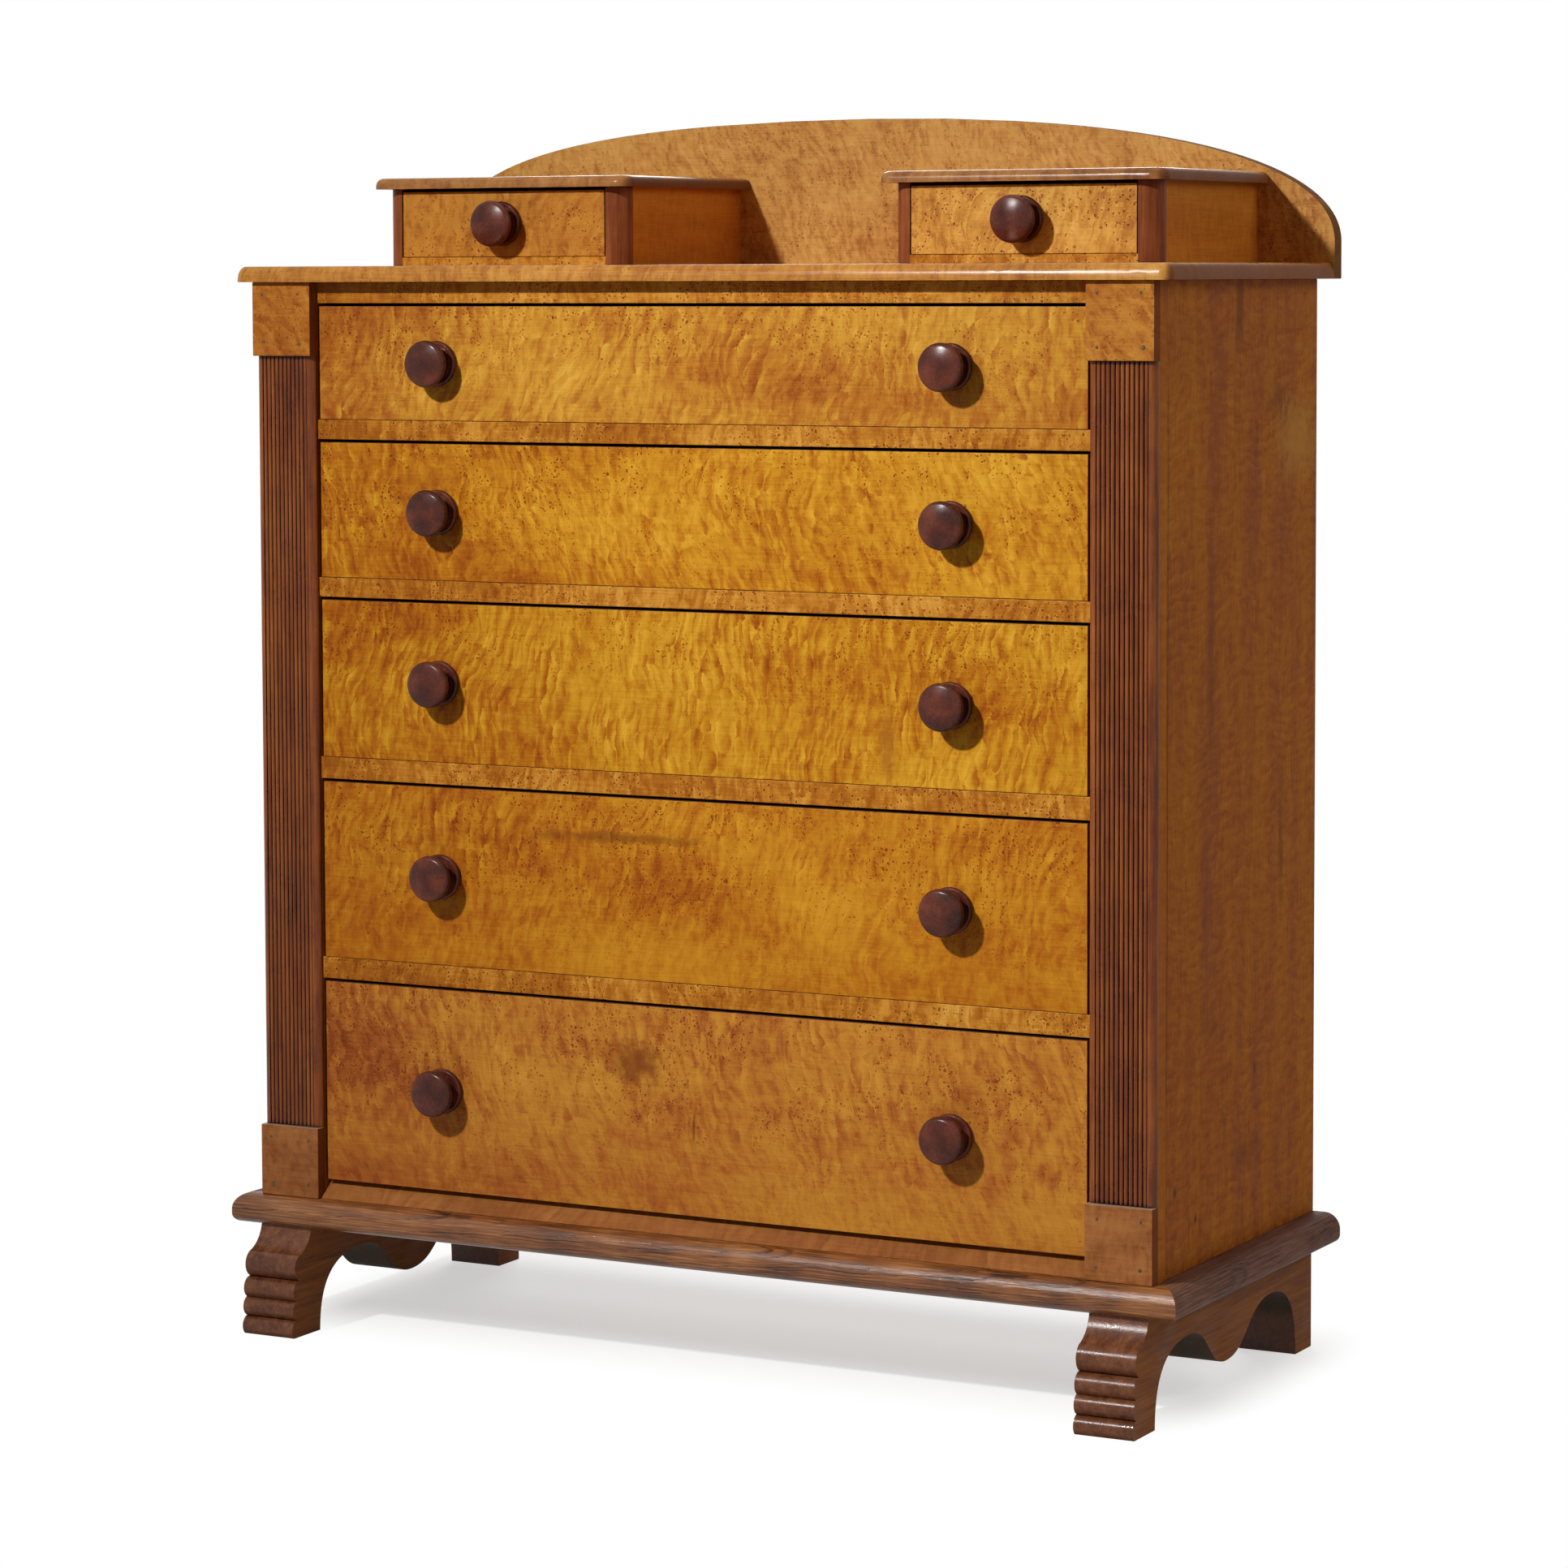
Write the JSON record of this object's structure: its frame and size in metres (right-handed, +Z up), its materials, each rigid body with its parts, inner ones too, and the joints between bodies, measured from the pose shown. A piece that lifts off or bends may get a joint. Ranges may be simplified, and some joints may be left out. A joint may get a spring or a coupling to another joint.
{
  "type": "chest of drawers",
  "caption": "Figured maple chest of graduated drawers with reeded pilasters, arched backboard, deck boxes with small drawers, bullnose base and lobed bracket feet; the drawers slide.",
  "frame": {"origin": "on the floor under the middle of the whole object's box", "axes": "+X to the right seen from the front, +Y to the back, +Z up; the drawers open towards -Y"},
  "size_m": [1.129, 0.4971, 1.329],
  "materials": {
    "figured_maple": "bird's-eye maple under amber shellac, satin gloss",
    "plain_maple": "plain maple, brown shellac, satin",
    "stained_cherry": "red-brown stained cherry, worn shellac",
    "dark_ash": "dark stained ring-porous wood, worn on the edge",
    "mahogany": "turned mahogany, polished",
    "pine": "unfinished aged pine, matt"
  },
  "bodies": {
    "case": {"side_panel_left": "plain_maple", "side_panel_right": "plain_maple", "front_stile_left": "plain_maple", "front_stile_right": "plain_maple", "top_rail": "figured_maple", "drawer_rail_1": "figured_maple", "drawer_rail_2": "figured_maple", "drawer_rail_3": "figured_maple", "drawer_rail_4": "figured_maple", "bottom_rail": "plain_maple", "bottom_board": "pine", "back_boards": "pine", "drawer_runners": "pine", "top_board": "plain_maple", "splashback": "figured_maple", "upper_block_left": "figured_maple", "upper_block_right": "figured_maple", "reeded_pilaster_left": "stained_cherry", "reeded_pilaster_right": "stained_cherry", "lower_block_left": "stained_cherry", "lower_block_right": "stained_cherry", "bracket_base_left": "stained_cherry", "bracket_base_right": "stained_cherry", "base_moulding_front": "dark_ash", "base_moulding_left": "dark_ash", "base_moulding_right": "dark_ash", "left_box_lid": "stained_cherry", "left_box_posts": "stained_cherry", "left_box_sides": "plain_maple", "left_box_floor": "figured_maple", "right_box_lid": "stained_cherry", "right_box_posts": "stained_cherry", "right_box_sides": "plain_maple", "right_box_floor": "figured_maple"},
    "drawer_1": {"drawer_1_front": "figured_maple", "drawer_1_box": "pine", "drawer_1_bottom": "pine", "drawer_1_knobs": "mahogany"},
    "drawer_2": {"drawer_2_front": "figured_maple", "drawer_2_box": "pine", "drawer_2_bottom": "pine", "drawer_2_knobs": "mahogany"},
    "drawer_3": {"drawer_3_front": "figured_maple", "drawer_3_box": "pine", "drawer_3_bottom": "pine", "drawer_3_knobs": "mahogany"},
    "drawer_4": {"drawer_4_front": "figured_maple", "drawer_4_box": "pine", "drawer_4_bottom": "pine", "drawer_4_knobs": "mahogany"},
    "drawer_5": {"drawer_5_front": "figured_maple", "drawer_5_box": "pine", "drawer_5_bottom": "pine", "drawer_5_knobs": "mahogany"},
    "left_box_drawer": {"left_box_drawer_front": "figured_maple", "left_box_drawer_box": "pine", "left_box_drawer_knob": "mahogany"},
    "right_box_drawer": {"right_box_drawer_front": "figured_maple", "right_box_drawer_box": "pine", "right_box_drawer_knob": "mahogany"}
  },
  "joints": [
    {"name": "drawer_1_slide", "type": "slide", "parent": "case", "child": "drawer_1", "axis": [0, -1, 0], "range_m": [0, 0.3]},
    {"name": "drawer_2_slide", "type": "slide", "parent": "case", "child": "drawer_2", "axis": [0, -1, 0], "range_m": [0, 0.3]},
    {"name": "drawer_3_slide", "type": "slide", "parent": "case", "child": "drawer_3", "axis": [0, -1, 0], "range_m": [0, 0.3]},
    {"name": "drawer_4_slide", "type": "slide", "parent": "case", "child": "drawer_4", "axis": [0, -1, 0], "range_m": [0, 0.3]},
    {"name": "drawer_5_slide", "type": "slide", "parent": "case", "child": "drawer_5", "axis": [0, -1, 0], "range_m": [0, 0.3]},
    {"name": "left_box_drawer_slide", "type": "slide", "parent": "case", "child": "left_box_drawer", "axis": [0, -1, 0], "range_m": [0, 0.18]},
    {"name": "right_box_drawer_slide", "type": "slide", "parent": "case", "child": "right_box_drawer", "axis": [0, -1, 0], "range_m": [0, 0.18]}
  ]
}
